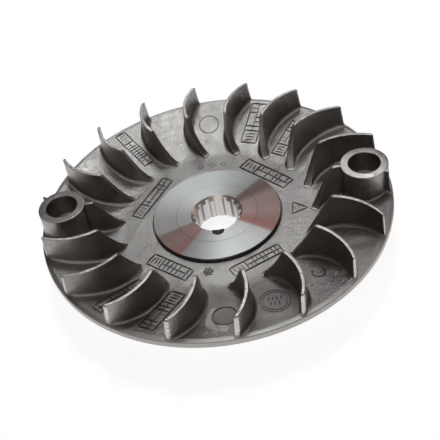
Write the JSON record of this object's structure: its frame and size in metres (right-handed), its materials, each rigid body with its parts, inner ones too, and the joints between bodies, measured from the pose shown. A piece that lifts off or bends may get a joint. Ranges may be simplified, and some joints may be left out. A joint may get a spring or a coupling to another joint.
{
  "type": "fan flywheel",
  "caption": "Round aluminium flywheel with curved fan blades, two tool bosses, a dished disc, a smooth belt cone behind and a splined steel hub.",
  "frame": {"origin": "centre of the splined bore on the rear hub face, which is the lowest plane of the part and the face it rests on", "axes": "+Z along the spin axis, out of the fan side; +X through one of the two tool bosses; +Y completes the right-handed set"},
  "size_m": [0.107, 0.107, 0.0198],
  "materials": {
    "cast_aluminium": "cast, satin, with turned rim and hub faces",
    "steel": "turned and broached"
  },
  "bodies": {
    "root": {"hub_insert": "steel", "casting_disc": "cast_aluminium", "fan_blade_01": "cast_aluminium", "fan_blade_02": "cast_aluminium", "fan_blade_03": "cast_aluminium", "fan_blade_04": "cast_aluminium", "fan_blade_05": "cast_aluminium", "fan_blade_06": "cast_aluminium", "fan_blade_07": "cast_aluminium", "fan_blade_08": "cast_aluminium", "fan_blade_09": "cast_aluminium", "fan_blade_10": "cast_aluminium", "fan_blade_11": "cast_aluminium", "fan_blade_12": "cast_aluminium", "fan_blade_13": "cast_aluminium", "fan_blade_14": "cast_aluminium", "fan_blade_15": "cast_aluminium", "fan_blade_16": "cast_aluminium", "boss_blade_right": "cast_aluminium", "boss_blade_left": "cast_aluminium"}
  },
  "joints": []
}
